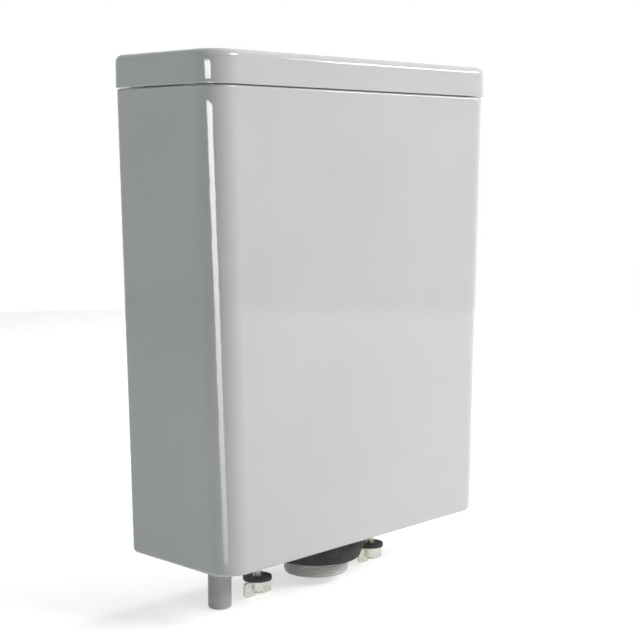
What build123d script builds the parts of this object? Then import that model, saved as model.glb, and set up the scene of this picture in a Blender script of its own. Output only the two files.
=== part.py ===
from build123d import *
import math
import os

# Close-coupled toilet cistern, in millimetres.
# Origin on the axis of the outlet, in the plane of the tank's underside.
# +Z is up, +Y points to the wall behind the tank, and the front of the tank faces -Y.

os.makedirs("parts", exist_ok=True)

# Tank, of glazed china
tank_width = 356
tank_depth = 124
tank_height = 400
tank_draft = 10
tank_wall = 9
tank_floor = 12
front_corner = 24
back_corner = 6
base_edge = 5
rim_edge = 2
floor_corner = 7
wall_hole_radius = 4.2
wall_hole_spacing = 170
wall_hole_drop = 55

# Lid, of the same china, with a locating rib that hangs inside the rim
lid_height = 27.5
lid_overhang = 2
lid_plate = 10
lid_top_edge = 6.5
lid_low_edge = 1
lid_back_corner = 7.5
lid_rib_depth = 8
lid_rib_wall = 8
lid_rib_gap = 2.5
lid_pad_thickness = 0.5
lid_pad_length = 14
lid_pad_width = 4
lid_pad_spacing = 64

# Dual flush button, in a round bezel through the lid
bezel_radius = 30
bezel_flange = 2.4
bezel_edge = 1.2
bezel_collar_radius = 24.6
bezel_wall = 2.1
bezel_depth = 25
bezel_floor = 2.5
bezel_hole_clearance = 0.9
gasket_thickness = 0.8
gasket_margin = 1
bezel_nut_radius = 33
bezel_nut_height = 6
bezel_nut_ribs = 12
bezel_nut_rib_radius = 1.6
button_proud = 0.8
button_plate = 2.6
button_skirt = 8
button_skirt_wall = 1.5
button_edge = 0.8
button_gap = 0.3
button_split = 5
button_travel = 6
stem_radius = 4.2
stem_reach = 2
rod_radius = 2.5
rod_socket_depth = 12
spring_wire = 0.5
spring_clearance = 0.6
spring_seat_gap = 0.2
spring_turns = 6

# Flush valve
tail_thread_radius = 29.8
tail_tip_radius = 29
tail_bore_radius = 25
tail_length = 38
outlet_hole_clearance = 2.2
base_seal_radius = 42
base_seal_thickness = 3
base_flange_radius = 43
base_flange = 4
seat_bore_radius = 26.5
seat_height = 5
seat_edge = 1
seat_recess = 5
post_count = 6
post_width = 8
post_depth = 5
post_height = 37
basket_plate = 3
basket_ledge = 4
basket_collar = 11
basket_collar_wall = 3
backnut_radius = 36
backnut_height = 12
backnut_ribs = 12
backnut_rib_radius = 2
doughnut_radius = 45
doughnut_taper = 4
doughnut_height = 24
doughnut_edge = 3
column_radius = 22
column_wall = 2.5
column_windows = 4
column_window_width = 12
column_window_height = 38
column_window_pitch = 52
column_window_low = 20
column_window_headroom = 40
valve_headroom = 62
tube_radius = 14
tube_wall = 1.8
tube_rise = 15
tube_disc_radius = 28
tube_disc = 2.5
seat_seal_radius = 30.5
seat_seal_thickness = 3
retainer_radius = 21
retainer_height = 4
head_skirt = 8
head_wall = 2.5
head_flange = 4
ear_gap = 18
ear_thickness = 4
ear_width = 14
ear_rise = 48
rocker_pin_radius = 2
rocker_pin_proud = 0.8
rocker_arm_near = 5
rocker_arm_width = 5
rocker_nose = 3
rocker_hub = 5
rod_arm = 13
lift_arm = 22
rod_foot_radius = 3.4
rod_foot_height = 4
rod_gap = 0.6
yoke_wall = 3
yoke_height = 5
yoke_drop = 9
strap_width = 6
strap_thickness = 2
strap_gap = 1
lug_thickness = 2.5
lug_gap = 0.4
half_float_radius = 33
half_float_height = 34
half_float_wall = 1.6
half_float_low = 150
half_float_gap = 0.5

# Fill valve
shank_radius = 10.4
shank_nut_radius = 10.2
shank_length = 46
shank_bore = 7
shank_bore_depth = 28
inlet_hole_clearance = 2.6
inlet_flange_radius = 17
inlet_flange = 3.5
inlet_washer_radius = 18
inlet_washer_thickness = 2.5
inlet_nut_flats = 30
inlet_nut_height = 9
inlet_nut_margin = 1
riser_radius = 11
riser_bore = 5
riser_socket_depth = 14
riser_socket_wall = 2.5
fill_headroom = 89
filter_length = 22
filter_wall = 1
filter_setback = 2
filter_slots = 8
filter_slot_width = 1.6
fill_head_radius = 20
fill_head_height = 18
fill_head_plate = 4
fill_head_wall = 3
fill_port_count = 6
fill_port_radius = 2.5
diaphragm_thickness = 1.5
diaphragm_margin = 2
fill_cap_radius = 21
fill_cap_height = 8
fill_cap_edge = 1.2
pilot_nozzle_radius = 3
pilot_nozzle_height = 2.7
pilot_hole_radius = 0.8
arm_pivot_rise = 9
arm_pivot_offset = 2
arm_ear_thickness = 3
arm_ear_width = 8
arm_ear_gap = 0.5
arm_pin_radius = 1.5
arm_pin_proud = 1
arm_width = 8
arm_thickness = 5
arm_length = 34
arm_short = 11
arm_hub_radius = 4
arm_tip_width = 13
arm_tip_length = 16
arm_slot_length = 8
arm_slot_width = 5
pilot_seal_radius = 2.5
pilot_seal_height = 1.5
float_radius = 27
float_height = 60
float_wall = 1.6
float_gap = 0.5
float_hang = 85
float_travel = 10
float_side_room = 12
float_tab_width = 10
float_tab_thickness = 6
adjusting_rod_radius = 2
adjusting_rod_below = 20
adjusting_head_radius = 4
adjusting_head_height = 5
adjusting_gap = 1.2
adjusting_clip_radius = 4.5
adjusting_clip_height = 5

# Coupling kit
bolt_spacing = 150
bolt_radius = 4
bolt_core_radius = 3.8
bolt_hole_clearance = 2
bolt_grip = 28
bolt_above = 4
bolt_tip = 3.4
bolt_chamfer = 0.8
bolt_head_radius = 8
bolt_head_height = 5.3
bolt_slot_width = 1.6
bolt_slot_depth = 2
head_washer_radius = 12
steel_washer = 1.6
cone_seal_radius = 11
cone_seal_thickness = 5
cone_seal_plug = 6
pan_seal_radius = 13
pan_seal_thickness = 3
wing_hub_radius = 7
wing_hub_height = 8
wing_reach = 16
wing_height = 13
wing_thickness = 2.6
wing_corner = 3

# Fits and cuts
snug = 0.05
running = 0.08
overrun = 20

# Places that follow from the sizes
draft_angle = math.degrees(math.atan(tank_draft / tank_height))
tank_back = tank_depth / 2
tank_front = -tank_back
wall_hole_height = tank_height - wall_hole_drop
lid_bottom = tank_height + lid_pad_thickness
lid_top = lid_bottom + lid_height
lid_ceiling = lid_top - lid_plate
lid_front = tank_front - lid_overhang
lid_back = tank_back
bezel_bottom = lid_top - bezel_depth
bezel_top = lid_top + gasket_thickness + bezel_flange
bezel_floor_top = bezel_bottom + bezel_floor
button_top = bezel_top + button_proud
button_underside = button_top - button_plate
button_radius = bezel_collar_radius - bezel_wall - button_gap
stem_bottom = bezel_bottom - stem_reach
flange_low = tank_floor + base_seal_thickness
flange_top = flange_low + base_flange
seat_top = flange_top + seat_height
plate_low = flange_top + post_height
plate_top = plate_low + basket_plate
pin_height = tank_height - valve_headroom
head_top = pin_height - ear_rise
column_top = head_top - head_flange
column_length = column_top - plate_top
window_room = column_length - column_window_low - column_window_height - column_window_headroom
column_window_rows = 1 + int(window_room / column_window_pitch)
nose_top = pin_height + rocker_nose
tube_low = seat_top - retainer_height
tube_top = head_top + tube_rise
seal_top = seat_top + seat_seal_thickness
strap_near = lift_arm + rocker_nose + strap_gap
strap_far = strap_near + strap_thickness
strap_middle = rocker_arm_near + rocker_arm_width / 2
lug_low = nose_top + lug_gap
lug_top = lug_low + lug_thickness
lug_near = lift_arm - rocker_nose
half_float_top = half_float_low + half_float_height
fill_x = -(tank_width / 2 - tank_draft - tank_wall - float_side_room - float_radius)
inlet_flange_low = tank_floor + inlet_washer_thickness
riser_low = inlet_flange_low + inlet_flange
fill_cap_top = tank_height - fill_headroom
fill_head_top = fill_cap_top - fill_cap_height
riser_top = fill_head_top - fill_head_height
arm_pivot_x = fill_x + arm_pivot_offset
arm_pivot_z = fill_cap_top + arm_pivot_rise
arm_half_turn = float_travel / arm_length / 2
arm_reach = arm_length / math.cos(arm_half_turn)
link_x = arm_pivot_x + arm_length
link_z = arm_pivot_z - arm_length * math.tan(arm_half_turn)
arm_half_height = arm_thickness / 2 / math.cos(arm_half_turn)
float_low = riser_top - float_hang
float_top = float_low + float_height

washer_stack_low = -bolt_grip - pan_seal_thickness
wing_top = washer_stack_low - steel_washer
wing_low = wing_top - wing_hub_height
head_washer_low = tank_floor + cone_seal_thickness
bolt_head_low = head_washer_low + steel_washer
bolt_places = [(-bolt_spacing / 2, 0), (bolt_spacing / 2, 0)]


def tank_form(inset, low, front_radius, back_radius):
    """The tank's form drawn in by inset, from low to the rim. Its sides lean in towards the base."""
    with BuildPart() as form:
        with BuildSketch(Plane.XY.offset(tank_height)):
            Rectangle(tank_width - 2 * inset, tank_depth + 2 * overrun)
        extrude(amount=low - tank_height, taper=draft_angle)
        split(bisect_by=Plane(origin=(0, tank_front + inset, 0), z_dir=(0, 1, 0)), keep=Keep.TOP)
        split(bisect_by=Plane(origin=(0, tank_back - inset, 0), z_dir=(0, -1, 0)), keep=Keep.TOP)
        front_uprights = form.faces().sort_by(Axis.Y)[0].edges().filter_by(Axis.X, reverse=True)
        fillet(front_uprights, front_radius)
        back_uprights = form.faces().sort_by(Axis.Y)[-1].edges().filter_by(Axis.X, reverse=True)
        fillet(back_uprights, back_radius)
    return form


def lid_form(inset, low, high, front_radius, back_radius):
    """A block on the lid's outline drawn in by inset, with upright sides."""
    front = lid_front + inset
    back = lid_back - inset
    with BuildPart() as form:
        with BuildSketch(Plane.XY.offset(low)) as outline:
            with Locations((0, (front + back) / 2)):
                Rectangle(tank_width + 2 * (lid_overhang - inset), back - front)
            fillet(outline.vertices().group_by(Axis.Y)[0], front_radius)
            fillet(outline.vertices().group_by(Axis.Y)[-1], back_radius)
        extrude(amount=high - low)
    return form


def ring(outer, inner, low, high, places=((0, 0),)):
    """A plain ring or tube about an upright axis, at each of the places."""
    with BuildPart() as piece:
        with BuildSketch(Plane.XY.offset(low)):
            with Locations(*places):
                Circle(outer)
                Circle(inner, mode=Mode.SUBTRACT)
        extrude(amount=high - low)
    return piece


# Tank: the outer form less its hollow, with the holes for the valves, bolts and wall screws
tank_outside = tank_form(0, 0, front_corner, back_corner)
tank_inside = tank_form(tank_wall, tank_floor, front_corner - tank_wall, back_corner)
with BuildPart() as tank_hollow:
    add(tank_inside.part)
    fillet(tank_hollow.faces().sort_by(Axis.Z)[0].edges(), floor_corner)
with BuildPart() as tank:
    add(tank_outside.part)
    fillet(tank.faces().sort_by(Axis.Z)[0].edges(), base_edge)
    add(tank_hollow.part, mode=Mode.SUBTRACT)
    fillet(tank.faces().sort_by(Axis.Z)[-1].edges(), rim_edge)
    with BuildSketch(Plane.XY):
        Circle(tail_thread_radius + outlet_hole_clearance)
        with Locations(*bolt_places):
            Circle(bolt_radius + bolt_hole_clearance)
        with Locations((fill_x, 0)):
            Circle(shank_radius + inlet_hole_clearance)
    extrude(amount=tank_floor, mode=Mode.SUBTRACT)
    with BuildSketch(Plane.XZ.offset(-tank_back)):
        with Locations((0, wall_hole_height)):
            with GridLocations(wall_hole_spacing, 0, 2, 1):
                Circle(wall_hole_radius)
    extrude(amount=tank_wall, mode=Mode.SUBTRACT)
tank.part.label = "tank"
export_step(tank.part, "parts/tank.step")

# Lid: a solid edge, hollowed below, with the rib that keeps it from sliding off
rib_inset = lid_overhang + tank_wall + lid_rib_gap
hollow_inset = rib_inset + lid_rib_wall
lid_rib = lid_form(
    rib_inset, lid_bottom - lid_rib_depth, lid_bottom, front_corner - tank_wall, back_corner
)
lid_hollow = lid_form(
    hollow_inset, lid_bottom - lid_rib_depth, lid_ceiling, front_corner - tank_wall, back_corner
)
lid_block = lid_form(0, lid_bottom, lid_top, front_corner + lid_overhang, lid_back_corner)
with BuildPart() as lid:
    add(lid_block.part)
    fillet(lid.faces().sort_by(Axis.Z)[-1].edges(), lid_top_edge)
    fillet(lid.faces().sort_by(Axis.Z)[0].edges(), lid_low_edge)
    add(lid_rib.part)
    add(lid_hollow.part, mode=Mode.SUBTRACT)
    with BuildSketch(Plane.XY.offset(lid_ceiling)):
        Circle(bezel_collar_radius + bezel_hole_clearance)
    extrude(amount=lid_plate, mode=Mode.SUBTRACT)
lid.part.label = "lid"
export_step(lid.part, "parts/lid.step")

with BuildPart() as lid_pads:
    with BuildSketch(Plane.XY.offset(tank_height)):
        with GridLocations(tank_width - tank_wall, lid_pad_spacing, 2, 2):
            Rectangle(lid_pad_width, lid_pad_length)
    extrude(amount=lid_pad_thickness)
lid_pads.part.label = "lid_pads"
export_step(lid_pads.part, "parts/lid_pads.step")

# Button bezel: a cup with a flange above the lid and a floor that guides the two stems
stem_places = [(-rod_arm, 0), (rod_arm, 0)]
with BuildPart() as button_bezel:
    with BuildSketch(Plane.XY.offset(bezel_bottom)):
        Circle(bezel_collar_radius)
    extrude(amount=bezel_depth + gasket_thickness)
    with BuildSketch(Plane.XY.offset(lid_top + gasket_thickness)):
        Circle(bezel_radius)
    extrude(amount=bezel_flange)
    fillet(button_bezel.faces().sort_by(Axis.Z)[-1].edges(), bezel_edge)
    with BuildSketch(Plane.XY.offset(bezel_floor_top)):
        Circle(bezel_collar_radius - bezel_wall)
    extrude(amount=bezel_top - bezel_floor_top, mode=Mode.SUBTRACT)
    with BuildSketch(Plane.XY.offset(bezel_bottom)):
        with Locations(*stem_places):
            Circle(stem_radius + button_gap)
    extrude(amount=bezel_floor, mode=Mode.SUBTRACT)
button_bezel.part.label = "button_bezel"
export_step(button_bezel.part, "parts/button_bezel.step")

gasket_radius = bezel_radius - gasket_margin
gasket_top = lid_top + gasket_thickness
bezel_gasket = ring(gasket_radius, bezel_collar_radius + snug, lid_top, gasket_top)
bezel_gasket.part.label = "bezel_gasket"
export_step(bezel_gasket.part, "parts/bezel_gasket.step")


def ribbed_nut(radius, bore, low, high, ribs, rib_radius):
    """A hand nut: a ring with upright ribs round it for grip."""
    with BuildPart() as nut:
        with BuildSketch(Plane.XY.offset(low)):
            Circle(radius)
            with PolarLocations(radius, ribs):
                Circle(rib_radius)
            Circle(bore, mode=Mode.SUBTRACT)
        extrude(amount=high - low)
    return nut


bezel_nut = ribbed_nut(
    bezel_nut_radius,
    bezel_collar_radius + snug,
    lid_ceiling - bezel_nut_height,
    lid_ceiling,
    bezel_nut_ribs,
    bezel_nut_rib_radius,
)
bezel_nut.part.label = "bezel_nut"
export_step(bezel_nut.part, "parts/bezel_nut.step")


def flush_button(side, split_at):
    """One of the two buttons: a plate and skirt cut from a disc, with a stem below. side is 1 or -1."""
    near = side * split_at + button_gap
    with BuildPart() as button:
        with BuildSketch(Plane.XY.offset(button_top - button_skirt - button_plate)) as outline:
            Circle(button_radius)
            with Locations((side * (near + button_radius), 0)):
                Rectangle(2 * button_radius, 2 * button_radius, mode=Mode.INTERSECT)
        extrude(amount=button_skirt + button_plate)
        fillet(button.faces().sort_by(Axis.Z)[-1].edges(), button_edge)
        with BuildSketch(Plane.XY.offset(button_underside - button_skirt)):
            Circle(button_radius - button_skirt_wall)
            with Locations((side * (near + button_skirt_wall + button_radius), 0)):
                Rectangle(2 * button_radius, 2 * button_radius, mode=Mode.INTERSECT)
        extrude(amount=button_skirt, mode=Mode.SUBTRACT)
        with BuildSketch(Plane.XY.offset(stem_bottom)):
            with Locations((side * rod_arm, 0)):
                Circle(stem_radius)
        extrude(amount=button_underside - stem_bottom)
        with BuildSketch(Plane.XY.offset(stem_bottom)):
            with Locations((side * rod_arm, 0)):
                Circle(rod_radius + snug)
        extrude(amount=rod_socket_depth, mode=Mode.SUBTRACT)
    return button


def push_rod(side):
    """The rod screwed into a button's stem, with a foot that stands just above its rocker."""
    with BuildPart() as rod:
        with BuildSketch(Plane.XY.offset(nose_top + rod_gap)):
            with Locations((side * rod_arm, 0)):
                Circle(rod_foot_radius)
        extrude(amount=rod_foot_height)
        with BuildSketch(Plane.XY.offset(nose_top + rod_gap)):
            with Locations((side * rod_arm, 0)):
                Circle(rod_radius)
        extrude(amount=stem_bottom + rod_socket_depth - nose_top - rod_gap)
    return rod


def button_spring(side):
    """The coil spring round a button's stem, from the bezel's floor to the button."""
    low = bezel_floor_top + spring_wire + spring_seat_gap
    high = button_underside - spring_wire - spring_seat_gap
    with BuildPart() as spring:
        with BuildLine() as coil:
            Helix(
                pitch=(high - low) / spring_turns,
                height=high - low,
                radius=stem_radius + spring_clearance + spring_wire,
                center=(side * rod_arm, 0, low),
            )
        with BuildSketch(Plane(origin=coil.line @ 0, z_dir=coil.line % 0)):
            Circle(spring_wire)
        sweep(is_frenet=True)
    return spring


full_flush_button = flush_button(1, -button_split)
full_flush_button.part.label = "full_flush_button"
export_step(full_flush_button.part, "parts/full_flush_button.step")

half_flush_button = flush_button(-1, -button_split)
half_flush_button.part.label = "half_flush_button"
export_step(half_flush_button.part, "parts/half_flush_button.step")

full_push_rod = push_rod(1)
full_push_rod.part.label = "full_push_rod"
export_step(full_push_rod.part, "parts/full_push_rod.step")

half_push_rod = push_rod(-1)
half_push_rod.part.label = "half_push_rod"
export_step(half_push_rod.part, "parts/half_push_rod.step")

full_button_spring = button_spring(1)
full_button_spring.part.label = "full_button_spring"
export_step(full_button_spring.part, "parts/full_button_spring.step")

half_button_spring = button_spring(-1)
half_button_spring.part.label = "half_button_spring"
export_step(half_button_spring.part, "parts/half_button_spring.step")

# Flush valve base: the threaded tail through the floor, with its flange and the seat
with BuildPart() as valve_base:
    with BuildSketch(Plane.XZ) as base_section:
        with BuildLine():
            Polyline(
                (tail_bore_radius, -tail_length),
                (tail_tip_radius, -tail_length),
                (tail_tip_radius, -doughnut_height),
                (tail_thread_radius, -doughnut_height),
                (tail_thread_radius, flange_low),
                (base_flange_radius, flange_low),
                (base_flange_radius, flange_top),
                (tail_thread_radius, flange_top),
                (seat_bore_radius + seat_edge, seat_top),
                (seat_bore_radius, seat_top),
                (seat_bore_radius, flange_low),
                (tail_bore_radius, flange_low - seat_recess),
                close=True,
            )
        make_face()
    revolve(axis=Axis.Z)
valve_base.part.label = "valve_base"
export_step(valve_base.part, "parts/valve_base.step")

# Basket posts: six, standing on the base's flange
with BuildPart() as basket_posts:
    with BuildSketch(Plane.XY.offset(flange_top)):
        with PolarLocations(base_flange_radius - post_depth / 2, post_count):
            Rectangle(post_depth, post_width)
    extrude(amount=post_height)
basket_posts.part.label = "basket_posts"
export_step(basket_posts.part, "parts/basket_posts.step")

# Valve basket: the plate and collar on the posts, which hold the column
with BuildPart() as valve_basket:
    with BuildSketch(Plane.XY.offset(plate_low)):
        Circle(base_flange_radius)
        Circle(column_radius - basket_ledge, mode=Mode.SUBTRACT)
    extrude(amount=basket_plate)
    with BuildSketch(Plane.XY.offset(plate_top)):
        Circle(column_radius + snug + basket_collar_wall)
        Circle(column_radius + snug, mode=Mode.SUBTRACT)
    extrude(amount=basket_collar)
valve_basket.part.label = "valve_basket"
export_step(valve_basket.part, "parts/valve_basket.step")

base_seal = ring(base_seal_radius, tail_thread_radius + snug, tank_floor, flange_low)
base_seal.part.label = "base_seal"
export_step(base_seal.part, "parts/base_seal.step")

tail_backnut = ribbed_nut(
    backnut_radius, tail_thread_radius + snug, -backnut_height, 0, backnut_ribs, backnut_rib_radius
)
tail_backnut.part.label = "tail_backnut"
export_step(tail_backnut.part, "parts/tail_backnut.step")

# Doughnut seal: soft rubber, moulded to sit over the backnut and round the tail below it
nut_room = backnut_radius + backnut_rib_radius + snug
with BuildPart() as doughnut_seal:
    with BuildSketch(Plane.XZ) as seal_section:
        with BuildLine():
            Polyline(
                (tail_thread_radius + snug, -doughnut_height),
                (doughnut_radius - doughnut_taper, -doughnut_height),
                (doughnut_radius, -backnut_height),
                (doughnut_radius, 0),
                (nut_room, 0),
                (nut_room, -backnut_height),
                (tail_thread_radius + snug, -backnut_height),
                close=True,
            )
        make_face()
        fillet(seal_section.vertices().group_by(Axis.X)[-2], doughnut_edge)
    revolve(axis=Axis.Z)
doughnut_seal.part.label = "doughnut_seal"
export_step(doughnut_seal.part, "parts/doughnut_seal.step")

# Column: a tube with rows of windows that let the water reach the lift tube
with BuildPart() as valve_column:
    with BuildSketch(Plane.XY.offset(plate_top)):
        Circle(column_radius)
        Circle(column_radius - column_wall, mode=Mode.SUBTRACT)
    extrude(amount=column_length)
    for row in range(column_window_rows):
        window_low = plate_top + column_window_low + row * column_window_pitch
        window_middle = window_low + column_window_height / 2
        for turn in range(column_windows):
            window_plane = Plane(
                origin=(0, 0, window_middle),
                x_dir=(0, 0, 1),
                z_dir=Vector(1, 0, 0).rotate(Axis.Z, 360 / column_windows * turn),
            )
            with BuildSketch(window_plane):
                SlotOverall(column_window_height, column_window_width)
            extrude(amount=column_radius, mode=Mode.SUBTRACT)
valve_column.part.label = "valve_column"
export_step(valve_column.part, "parts/valve_column.step")

# Valve head: a cap on the column that guides the lift tube and carries the rocker pin on two ears
with BuildPart() as valve_head:
    with BuildSketch(Plane.XY.offset(column_top - head_skirt)):
        Circle(column_radius + snug + head_wall)
        Circle(column_radius + snug, mode=Mode.SUBTRACT)
    extrude(amount=head_skirt)
    with BuildSketch(Plane.XY.offset(column_top)):
        Circle(column_radius + snug + head_wall)
        Circle(tube_radius + running, mode=Mode.SUBTRACT)
    extrude(amount=head_flange)
    for ear_side in (-1, 1):
        ear_far = max(ear_side * ear_gap, ear_side * (ear_gap + ear_thickness))
        with BuildSketch(Plane.XZ.offset(-ear_far)):
            with Locations((0, pin_height)):
                Circle(ear_width / 2)
            with Locations((0, (head_top + pin_height) / 2)):
                Rectangle(ear_width, pin_height - head_top)
            with Locations((0, pin_height)):
                Circle(rocker_pin_radius + snug, mode=Mode.SUBTRACT)
        extrude(amount=ear_thickness)
valve_head.part.label = "valve_head"
export_step(valve_head.part, "parts/valve_head.step")

pin_reach = ear_gap + ear_thickness + rocker_pin_proud
with BuildPart() as rocker_pin:
    with BuildSketch(Plane.XZ.offset(-pin_reach)):
        with Locations((0, pin_height)):
            Circle(rocker_pin_radius)
    extrude(amount=2 * pin_reach)
rocker_pin.part.label = "rocker_pin"
export_step(rocker_pin.part, "parts/rocker_pin.step")

# Full flush rocker: the rod presses its wide nose at +X and its narrow nose at -X lifts the tube
rocker_far = rocker_arm_near + rocker_arm_width
with BuildPart() as full_flush_rocker:
    with BuildSketch(Plane.XZ.offset(-rocker_far)):
        with Locations(((rod_arm - lift_arm) / 2, pin_height)):
            SlotCenterToCenter(rod_arm + lift_arm, 2 * rocker_nose)
        with Locations((0, pin_height)):
            Circle(rocker_hub)
    extrude(amount=rocker_arm_width)
    with BuildSketch(Plane.XZ.offset(button_gap - ear_gap)):
        with Locations((0, pin_height)):
            Circle(rocker_hub)
    extrude(amount=ear_gap - button_gap - rocker_arm_near)
    with BuildSketch(Plane.XZ.offset(-rocker_arm_near)):
        with Locations((rod_arm, pin_height)):
            Circle(rocker_nose)
    extrude(amount=rocker_arm_near + rod_foot_radius)
    with BuildSketch(Plane.XZ.offset(-ear_gap)):
        with Locations((0, pin_height)):
            Circle(rocker_pin_radius + running)
    extrude(amount=ear_gap, mode=Mode.SUBTRACT)
full_flush_rocker.part.label = "full_flush_rocker"
export_step(full_flush_rocker.part, "parts/full_flush_rocker.step")

with BuildPart() as half_flush_rocker:
    add(full_flush_rocker.part.rotate(Axis.Z, 180))
half_flush_rocker.part.label = "half_flush_rocker"
export_step(half_flush_rocker.part, "parts/half_flush_rocker.step")

# Lift tube: the overflow and the plug in one, with its seal clamped between a disc and a retainer
lift_tube = ring(tube_radius, tube_radius - tube_wall, tube_low, tube_top)
lift_tube.part.label = "lift_tube"
export_step(lift_tube.part, "parts/lift_tube.step")

plug_disc = ring(tube_disc_radius, tube_radius + snug, seal_top, seal_top + tube_disc)
plug_disc.part.label = "plug_disc"
export_step(plug_disc.part, "parts/plug_disc.step")

seat_seal = ring(seat_seal_radius, tube_radius + snug, seat_top, seal_top)
seat_seal.part.label = "seat_seal"
export_step(seat_seal.part, "parts/seat_seal.step")

seal_retainer = ring(retainer_radius, tube_radius + snug, tube_low, seat_top)
seal_retainer.part.label = "seal_retainer"
export_step(seal_retainer.part, "parts/seal_retainer.step")


def lift_strap(side, low):
    """The strap and lug over a rocker's lifting nose, on the side of that nose: 1 for +X, -1 for -X."""
    with BuildPart() as strap:
        with BuildSketch(Plane.XY.offset(low)):
            with Locations((side * (strap_near + strap_far) / 2, -side * strap_middle)):
                Rectangle(strap_thickness, strap_width)
        extrude(amount=lug_top - low)
        with BuildSketch(Plane.XY.offset(lug_low)):
            with Locations((side * (lug_near + strap_far) / 2, -side * strap_middle)):
                Rectangle(strap_far - lug_near, strap_width)
        extrude(amount=lug_thickness)
    return strap


# Lift yoke: clipped round the top of the lift tube, it reaches over the full flush rocker
yoke_low = tube_top - yoke_drop
yoke_strap = lift_strap(-1, yoke_low)
with BuildPart() as lift_yoke:
    with BuildSketch(Plane.XY.offset(yoke_low)):
        Circle(tube_radius + snug + yoke_wall)
        with Locations((-strap_far / 2, strap_middle)):
            Rectangle(strap_far, strap_width)
        Circle(tube_radius + snug, mode=Mode.SUBTRACT)
    extrude(amount=yoke_height)
    add(yoke_strap.part)
lift_yoke.part.label = "lift_yoke"
export_step(lift_yoke.part, "parts/lift_yoke.step")

# Half flush float: an upturned cup that slides on the column, hung from the half flush rocker
with BuildPart() as half_flush_float:
    with BuildSketch(Plane.XY.offset(half_float_low)):
        Circle(half_float_radius)
        Circle(column_radius + half_float_gap, mode=Mode.SUBTRACT)
    extrude(amount=half_float_height)
    with BuildSketch(Plane.XY.offset(half_float_low)):
        Circle(half_float_radius - half_float_wall)
        Circle(column_radius + half_float_gap + half_float_wall, mode=Mode.SUBTRACT)
    extrude(amount=half_float_height - half_float_wall, mode=Mode.SUBTRACT)
half_flush_float.part.label = "half_flush_float"
export_step(half_flush_float.part, "parts/half_flush_float.step")

half_flush_link = lift_strap(1, half_float_top)
half_flush_link.part.label = "half_flush_link"
export_step(half_flush_link.part, "parts/half_flush_link.step")

# Fill valve shank: threaded through the floor, with a flange over its washer and a socket for the riser
fill_plane = Plane(origin=(fill_x, 0, 0), x_dir=(1, 0, 0), z_dir=(0, -1, 0))
shank_nut_end = -inlet_nut_height - inlet_nut_margin
socket_radius = riser_radius + snug + riser_socket_wall
with BuildPart() as fill_valve_shank:
    with BuildSketch(fill_plane) as shank_section:
        with BuildLine():
            Polyline(
                (shank_bore, -shank_length),
                (shank_radius, -shank_length),
                (shank_radius, shank_nut_end),
                (shank_nut_radius, shank_nut_end),
                (shank_nut_radius, inlet_flange_low),
                (inlet_flange_radius, inlet_flange_low),
                (inlet_flange_radius, riser_low),
                (socket_radius, riser_low),
                (socket_radius, riser_low + riser_socket_depth),
                (riser_radius + snug, riser_low + riser_socket_depth),
                (riser_radius + snug, riser_low),
                (riser_bore, riser_low),
                (riser_bore, shank_bore_depth - shank_length),
                (shank_bore, shank_bore_depth - shank_length),
                close=True,
            )
        make_face()
    revolve(axis=Axis((fill_x, 0, 0), (0, 0, 1)))
fill_valve_shank.part.label = "fill_valve_shank"
export_step(fill_valve_shank.part, "parts/fill_valve_shank.step")

fill_place = [(fill_x, 0)]
fill_riser = ring(riser_radius, riser_bore, riser_low, riser_top, fill_place)
fill_riser.part.label = "fill_riser"
export_step(fill_riser.part, "parts/fill_riser.step")

inlet_washer = ring(
    inlet_washer_radius, shank_nut_radius + snug, tank_floor, inlet_flange_low, fill_place
)
inlet_washer.part.label = "inlet_washer"
export_step(inlet_washer.part, "parts/inlet_washer.step")

with BuildPart() as inlet_backnut:
    with BuildSketch(Plane.XY.offset(-inlet_nut_height)):
        with Locations(*fill_place):
            RegularPolygon(inlet_nut_flats / 2, 6, major_radius=False)
            Circle(shank_nut_radius + snug, mode=Mode.SUBTRACT)
    extrude(amount=inlet_nut_height)
inlet_backnut.part.label = "inlet_backnut"
export_step(inlet_backnut.part, "parts/inlet_backnut.step")

filter_low = filter_setback - shank_length
filter_radius = shank_bore - snug
with BuildPart() as inlet_filter:
    with BuildSketch(Plane.XY.offset(filter_low)):
        with Locations(*fill_place):
            Circle(filter_radius)
    extrude(amount=filter_length)
    with BuildSketch(Plane.XY.offset(filter_low)):
        with Locations(*fill_place):
            Circle(filter_radius - filter_wall)
    extrude(amount=filter_length - filter_wall, mode=Mode.SUBTRACT)
    with BuildSketch(Plane.XY.offset(filter_low + filter_setback)):
        with Locations(*fill_place):
            with PolarLocations(filter_radius, filter_slots):
                Rectangle(filter_radius, filter_slot_width)
    extrude(amount=filter_length - 2 * filter_setback, mode=Mode.SUBTRACT)
inlet_filter.part.label = "inlet_filter"
export_step(inlet_filter.part, "parts/inlet_filter.step")

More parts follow.
